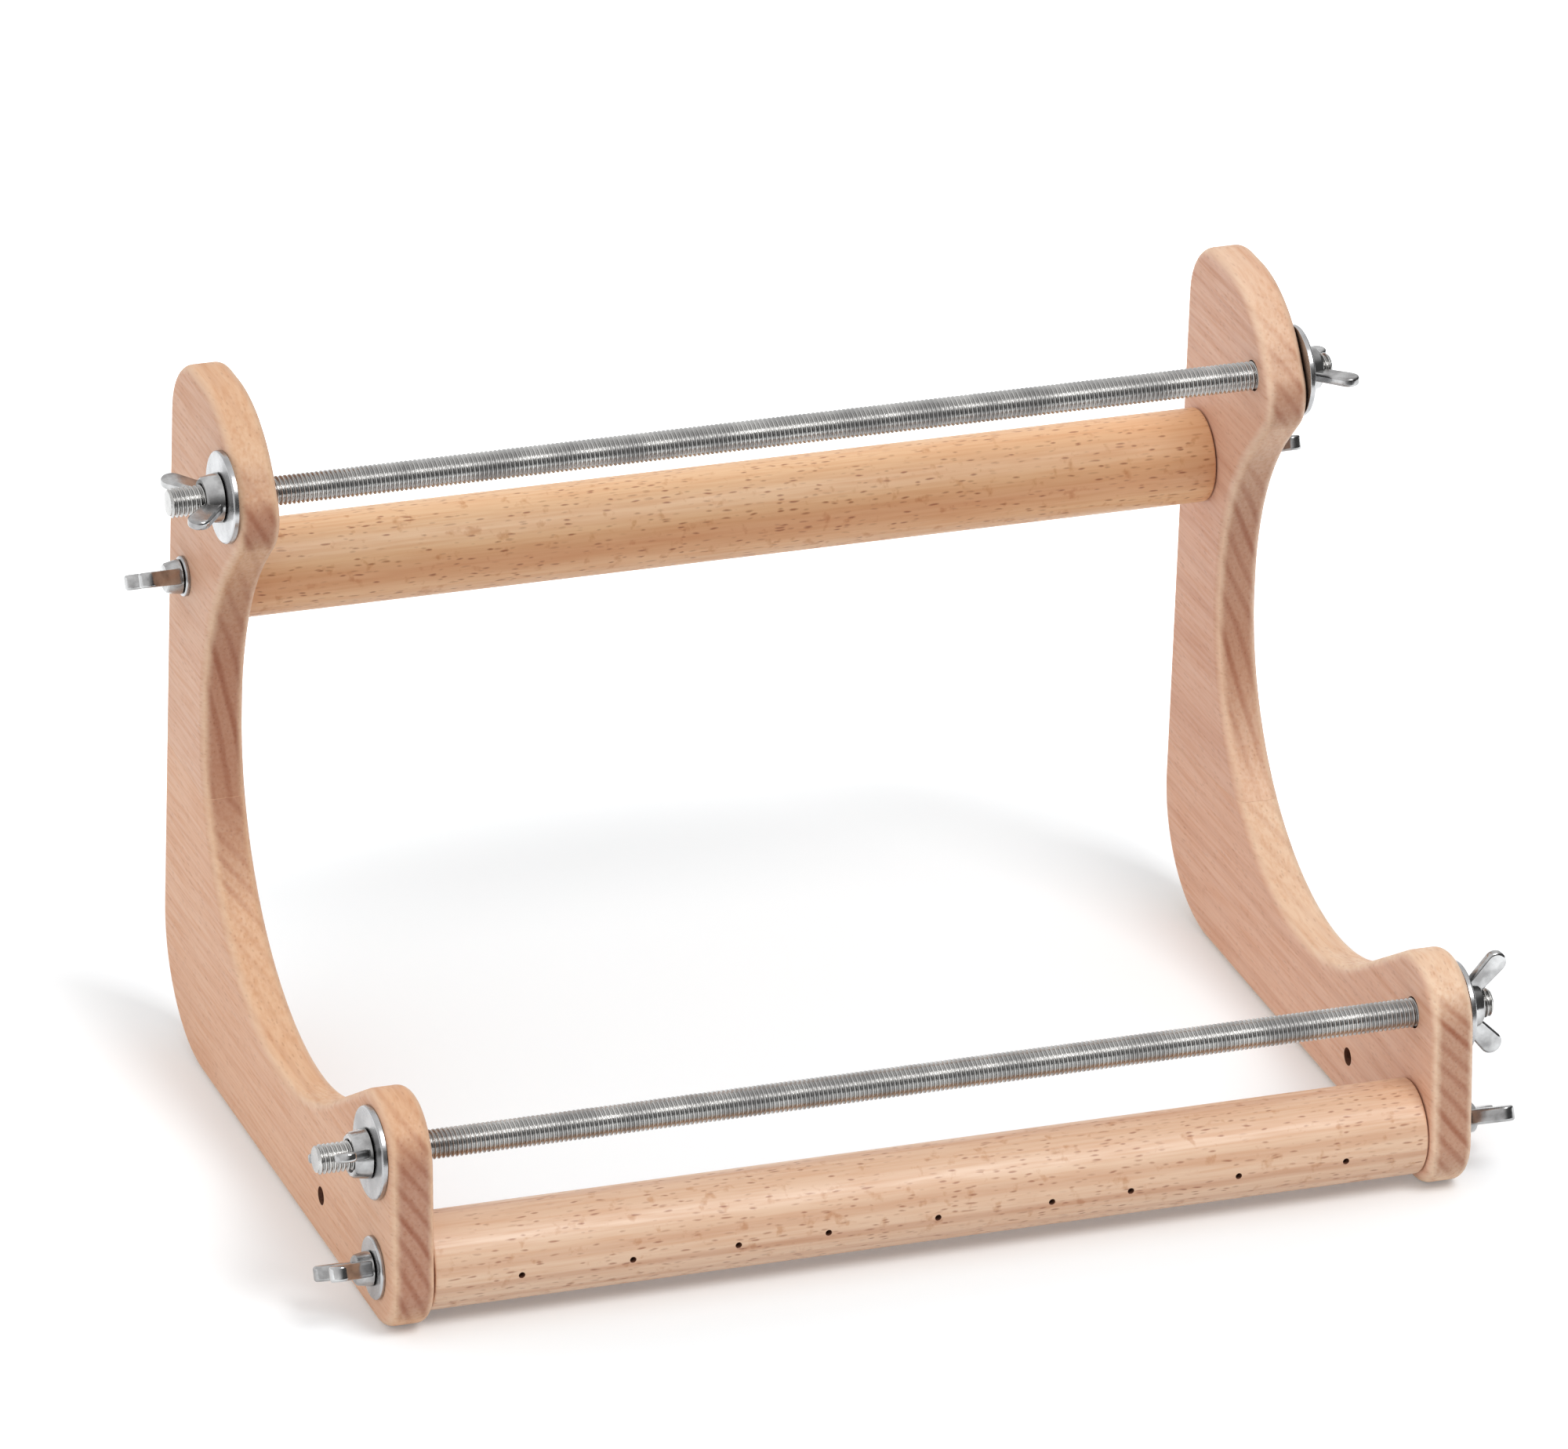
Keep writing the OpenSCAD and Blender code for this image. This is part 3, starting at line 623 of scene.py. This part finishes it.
def roller_end(sign):
    """Profile of one end, from the axis outwards for sign -1 and inwards for sign 1."""
    half = ROLLER_HALF
    (wide, short), (narrow, long) = INSERT_BORE, TIP_BORE
    points = [(0, half - long), (narrow, half - long), (narrow, half - short),
              (wide, half - short), (wide, half)]
    points += rounded(ROLLER_R, half, END_BREAK)
    return [(r, sign * h) for r, h in (points if sign < 0 else reversed(points))]


def warp_drill(share):
    """Cutter for one blind hole, 9 mm deep, that looks forward and a little down."""
    bm = bmesh.new()
    y, z = ROLLERS["lower"]
    place = (Matrix.Translation((share * ROLLER_HALF, y, z))
             @ Matrix.Rotation(math.radians(WARP_AIM), 4, "X"))
    turned(bm, [(0, WARP_FLOOR), (WARP_R, WARP_FLOOR), (WARP_R, WARP_TOP), (0, WARP_TOP)],
           place, steps=24)
    return new_piece("warp_drill", bm, bore_finish)


for level, (y, z) in ROLLERS.items():
    bm = bmesh.new()
    lying = Matrix.Translation((0, y, z)) @ Matrix.Rotation(math.pi / 2, 4, "Y")
    turned(bm, roller_end(-1) + roller_end(1), lying, steps=128)
    roller = new_piece(f"beech_{level}_roller", bm, roller_finish[f"{level}_roller"])
    if level == "lower":
        carve(roller, [warp_drill(share) for share in WARP_HOLES])
    dress(roller, f"{level}_roller", f"{level}_roller")

# %% [markdown]
# ## The threaded rods
# The rods are M8: the thread climbs 1.25 mm a turn. A bump would leave the outline smooth, and a
# stack of rings would not climb, so the thread is a real helix. The rows of the mesh follow it,
# which makes each crest one clean edge, and the ends are cut flat with a small bevel.

# %% Threaded rods
ROD_R, PITCH, THREAD = 4 * MM, 1.25 * MM, 0.65 * MM
# Half the length, and how far the rods stand out further at the left
ROD_HALF, ROD_SHIFT = 165 * MM, -3 * MM
# Height of the thread over one turn, from crest to root and back
THREAD_SHAPE = [1.0, 1.0, 0.55, 0.12, 0.0, 0.12, 0.55]


def rod_mesh(place, around=28):
    """Rod along X with a right-hand thread."""
    bm = bmesh.new()
    y, z = place
    turn = len(THREAD_SHAPE)
    rows = int(2 * ROD_HALF / PITCH) * turn
    grid = []
    for i in range(-turn, rows + turn):
        row = []
        for k in range(around):
            x = -ROD_HALF + PITCH * (i / turn + k / around)
            x = min(max(x, -ROD_HALF), ROD_HALF)
            r = ROD_R - THREAD * (1 - THREAD_SHAPE[i % turn])
            r = min(r, ROD_R - THREAD + (ROD_HALF - abs(x)))
            a = 2 * math.pi * k / around
            row.append(bm.verts.new((x + ROD_SHIFT, y + r * math.cos(a), z + r * math.sin(a))))
        grid.append(row)
    for i in range(len(grid) - 1):
        for k in range(around - 1):
            bm.faces.new((grid[i][k], grid[i][k + 1], grid[i + 1][k + 1], grid[i + 1][k]))
        if i + turn + 1 < len(grid):
            bm.faces.new((grid[i][around - 1], grid[i + turn][0],
                          grid[i + turn + 1][0], grid[i + 1][around - 1]))
    # The rows beyond both ends fell together there; they are merged, and the ends closed
    bmesh.ops.remove_doubles(bm, verts=bm.verts, dist=1e-6)
    bmesh.ops.holes_fill(bm, edges=[e for e in bm.edges if e.is_boundary])
    bmesh.ops.dissolve_degenerate(bm, edges=bm.edges, dist=1e-7)
    return bm


for level, place in RODS.items():
    rod = new_piece(f"zinc_{level}_rod", rod_mesh(place), rod_zinc)
    dress(rod, "frame", f"{level}_rod", crease=75)

# %% [markdown]
# ## Washers
# A washer is punched from sheet: one face has a soft rolled rim, the other is flat. The wide
# ones under the wing nuts spread the load on the wood. Turning a section, as on a lathe, gives
# the rolled rim at no extra work.

# %% Washers
# Air between parts that lie on each other
SEAT = 0.05 * MM
# Outer radius, bore radius and thickness in mm
ROD_WASHER = (12.5, 4.2, 1.6)
BOLT_WASHERS = {"upper": (5.5, 3.2, 1.2), "lower": (8.5, 3.2, 1.2)}
# Edges of every washer: breaks under and over the bore and under the rim, and the rolled rim
BORE_UNDER, BORE_OVER, RIM_UNDER, RIM_ROLL = 0.15 * MM, 0.3 * MM, 0.1 * MM, 0.55 * MM


def outwards(side, place, stand, turn=0.0):
    """Matrix that points local Z out of a frame's outer face. Wings start level and turn up."""
    spin = math.radians(90 - side * turn)
    return (Matrix.Translation((side * (OUTER + stand), *place))
            @ Matrix.Rotation(side * math.pi / 2, 4, "Y") @ Matrix.Rotation(spin, 4, "Z"))


def washer(name, side, place, radius_mm, bore_mm, thick_mm):
    """Punched washer with a rolled outer rim and a broken bore edge."""
    bm = bmesh.new()
    r, bore, t = radius_mm * MM, bore_mm * MM, thick_mm * MM
    profile = [(bore, BORE_UNDER), (bore + BORE_UNDER, 0), (r - RIM_UNDER, 0), (r, RIM_UNDER)]
    profile += reversed(rounded(r, t, RIM_ROLL, steps=5))
    profile += [(bore + BORE_OVER, t), (bore, t - BORE_OVER)]
    turned(bm, profile, outwards(side, place, SEAT))
    return new_piece(name, bm, washer_zinc)


for level in RODS:
    for side_name, side in SIDES.items():
        end = f"{level}_{side_name}"
        wide = washer(f"zinc_{end}_rod_washer", side, RODS[level], *ROD_WASHER)
        dress(wide, f"{end}_rod_washer", f"{end}_rod_washer")
        small = washer(f"zinc_{end}_bolt_washer", side, ROLLERS[level], *BOLT_WASHERS[level])
        dress(small, f"{end}_bolt_washer", f"{end}_bolt_washer")

# %% [markdown]
# ## Wing nuts and wing bolts
# Both are pressed or cast in one piece: a round hub with two leaf-shaped wings that spread like
# a V, so that two fingers can turn them. Hub and wings are made apart, joined, and their rims
# softened, as plating does.

# %% Wings
WING_EDGE = 0.8 * MM


def leaf(hub_mm, height_mm, span_mm, top_mm, tip_mm):
    """Outline of one wing beside its hub: local X outwards, local Y along the axis."""
    root = height_mm / 2
    return belt([(x * MM, y * MM, r * MM) for x, y, r in (
        (hub_mm - root / 2, root, root),
        (span_mm / 2 - tip_mm, top_mm - tip_mm, tip_mm))], step=8.0)


def wing_pair(outline, thick_mm):
    """Two wings on either side of local Z."""
    pieces = []
    for turn in (0, math.pi):
        bm = bmesh.new()
        upright = (Matrix.Rotation(turn, 4, "Z") @ Matrix.Translation((0, thick_mm / 2 * MM, 0))
                   @ Matrix.Rotation(math.pi / 2, 4, "X"))
        slab(bm, outline, thick_mm * MM, WING_EDGE, upright, steps=4)
        pieces.append(new_piece("wing", bm, wing_zinc))
    return pieces


# %% Wing nuts
# How far the wings are turned from level, in degrees, as in the photograph
NUT_TILTS = {"upper_left": -3, "upper_right": 5, "lower_left": 26, "lower_right": 90}
# Half section of the hub in mm, round from its bore
NUT_BORE = 4.06
NUT_HUB = [(NUT_BORE, 0.5), (4.56, 0), (6.35, 0), (6.75, 0.4),
           (6.0, 4.4), (5.4, 5.0), (4.56, 5.0), (NUT_BORE, 4.5)]


def hub(name, section_mm):
    """Turned hub of a nut or bolt, about local Z."""
    bm = bmesh.new()
    turned(bm, [(r * MM, h * MM) for r, h in section_mm], Matrix.Identity(4), steps=64)
    return new_piece(name, bm, wing_zinc)


def wing_nut(name):
    """M8 wing nut in its own frame: base at zero, axis up. The bore is cleared of the wings."""
    nut = hub(name, NUT_HUB)
    wing = leaf(hub_mm=5.75, height_mm=5, span_mm=30, top_mm=12.4, tip_mm=3.1)
    carve(nut, wing_pair(wing, thick_mm=2.6), "UNION")
    carve(nut, [hub("core", [(0, -1), (NUT_BORE, -1), (NUT_BORE, 14), (0, 14)])])
    return nut


for level in RODS:
    for side_name, side in SIDES.items():
        end = f"{level}_{side_name}"
        nut = wing_nut(f"zinc_{end}_wing_nut")
        seat = 2 * SEAT + ROD_WASHER[-1] * MM
        nut.data.transform(outwards(side, RODS[level], seat, NUT_TILTS[end]))
        dress(nut, f"{end}_wing_nut", f"{end}_wing_nut", crease=40, rim_mm=0.12)


# %% Wing bolts
BOLT_TILT = 26
# Half section of shank and hub in mm, from the tip of the shank up
BOLT_HUB = [(0, -26), (2.6, -26), (3.0, -25.6), (3.0, 0), (4.4, 0),
            (4.75, 0.35), (4.1, 4.0), (3.6, 4.5), (0, 4.5)]


def wing_bolt(name):
    """M6 wing bolt in its own frame: seat at zero, shank down."""
    bolt = hub(name, BOLT_HUB)
    wing = leaf(hub_mm=4.0, height_mm=4.5, span_mm=20, top_mm=13.4, tip_mm=2.8)
    carve(bolt, wing_pair(wing, thick_mm=4.2), "UNION")
    return bolt


for level in ROLLERS:
    for side_name, side in SIDES.items():
        end = f"{level}_{side_name}"
        bolt = wing_bolt(f"zinc_{end}_wing_bolt")
        seat = 2 * SEAT + BOLT_WASHERS[level][-1] * MM
        bolt.data.transform(outwards(side, ROLLERS[level], seat, BOLT_TILT))
        dress(bolt, f"{end}_wing_bolt", f"{end}_wing_bolt", crease=40, rim_mm=0.12)

# %% [markdown]
# ## Brass inserts
# The inserts sit inside the roller ends, out of sight. Their CAD shape is right, so they only
# get the finish of turned brass.

# %% Inserts
for level in ROLLERS:
    for side_name in SIDES:
        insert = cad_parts[f"{level}_{side_name}_insert"]
        for slot in insert.material_slots:
            slot.material = brass
print("inserts: 4")

# %% [markdown]
# ## Studio
# The loom stands on a white sheet in a white room. The room is brightest to the left, above and
# behind, and dim towards the front right. One large soft lamp hangs in front, a little to the
# right. So the upper sides of the wood are the brightest, the undersides stay in shade, and the
# sheet throws light back up under the rollers.

# %% Floor
def shown_white(tree):
    """1 for rays from the camera and those in gloss or glass, 0 for the light on surfaces."""
    rays = add(tree, "ShaderNodeLightPath").outputs
    seen = add(tree, "ShaderNodeMath", {
        0: rays["Is Glossy Ray"], 1: rays["Is Transmission Ray"]}, operation="MAXIMUM")
    return add(tree, "ShaderNodeMath", {0: rays["Is Camera Ray"], 1: seen}, operation="MAXIMUM")


def pale_floor(near, near_lift, far, far_lift):
    """White sheet. Where it is seen it gets a little light of its own, which lifts it to white.
    The lift is small near the loom, so that its shadow shows, and larger away from it. near and
    far are distances from the middle of the loom in metres."""
    bm = bmesh.new()
    left_front, right_back = Vector((-1.6, -0.42, 0)), Vector((1.6, 1.8, 0))
    just_below = Vector((0, 0, -0.2 * MM))
    bmesh.ops.create_grid(bm, x_segments=4, y_segments=4, size=0.5)
    bm.transform(Matrix.Translation((left_front + right_back) / 2 + just_below)
                 @ Matrix.Diagonal((*(right_back - left_front).xy, 1, 1)))
    material, tree = blank_finish("white_paper")
    place = add(tree, "ShaderNodeTexCoord").outputs["Object"]
    away = add(tree, "ShaderNodeVectorMath", {0: place}, operation="LENGTH")
    lift = add(tree, "ShaderNodeMapRange", {
        "Value": away, "From Min": near, "From Max": far, "To Min": near_lift, "To Max": far_lift},
        interpolation_type="SMOOTHSTEP")
    own_light = add(tree, "ShaderNodeMath", {0: shown_white(tree), 1: lift}, operation="MULTIPLY")
    shader = add(tree, "ShaderNodeBsdfPrincipled", {
        "Base Color": linear("#EEF1F3"), "Roughness": 0.9,
        "Emission Color": (1, 1, 1, 1), "Emission Strength": own_light})
    add(tree, "ShaderNodeOutputMaterial", {"Surface": shader})
    floor = new_piece("floor", bm, material)


pale_floor(near=0.14, near_lift=0.13, far=0.34, far_lift=0.75)
print("floor: a white sheet")


# %% World and lamp
# Direction to the left, behind and above, about 1 long
BRIGHT_SIDE = (-0.7, 0.4, 0.59)


def white_room(light, dim):
    """World that the camera sees white. Its soft light has the stated strength on the bright
    side and falls off to the share dim opposite, and metal reflects it at full strength. The
    light falls off between the cosines 0.25 and -0.35 of the angle to the bright side."""
    world = bpy.data.worlds.new("room")
    bpy.context.scene.world = world
    world.use_nodes = True
    tree = world.node_tree
    tree.nodes.clear()
    way = add(tree, "ShaderNodeTexCoord").outputs["Generated"]
    side = add(tree, "ShaderNodeVectorMath", {0: way, 1: BRIGHT_SIDE}, operation="DOT_PRODUCT")
    room = add(tree, "ShaderNodeMapRange", {
        "Value": side, "From Min": -0.35, "From Max": 0.25, "To Min": dim, "To Max": 1.0})
    level = add(tree, "ShaderNodeMapRange", {
        "Value": shown_white(tree), "To Min": light, "To Max": 1.0})
    strength = add(tree, "ShaderNodeMath", {0: room, 1: level}, operation="MULTIPLY")
    straight = add(tree, "ShaderNodeLightPath").outputs["Is Camera Ray"]
    strength = add(tree, "ShaderNodeMath", {0: strength, 1: straight}, operation="MAXIMUM")
    background = add(tree, "ShaderNodeBackground", {"Color": (1, 1, 1, 1), "Strength": strength})
    add(tree, "ShaderNodeOutputWorld", {"Surface": background})


def soft_lamp(name, place, aim, size, power):
    """Square soft lamp that looks at a point."""
    data = bpy.data.lights.new(name, "AREA")
    data.shape, data.size, data.energy = "SQUARE", size, power
    lamp = bpy.data.objects.new(name, data)
    bpy.context.scene.collection.objects.link(lamp)
    lamp.location = place
    lamp.rotation_euler = (Vector(aim) - Vector(place)).to_track_quat("-Z", "Y").to_euler()


white_room(light=0.85, dim=0.08)
soft_lamp("lamp", place=(0.55, -1.15, 1.75), aim=(0, 0, 0.1), size=0.9, power=21.5)
bpy.context.scene.view_settings.view_transform = "Standard"
print("studio: a room and one lamp")
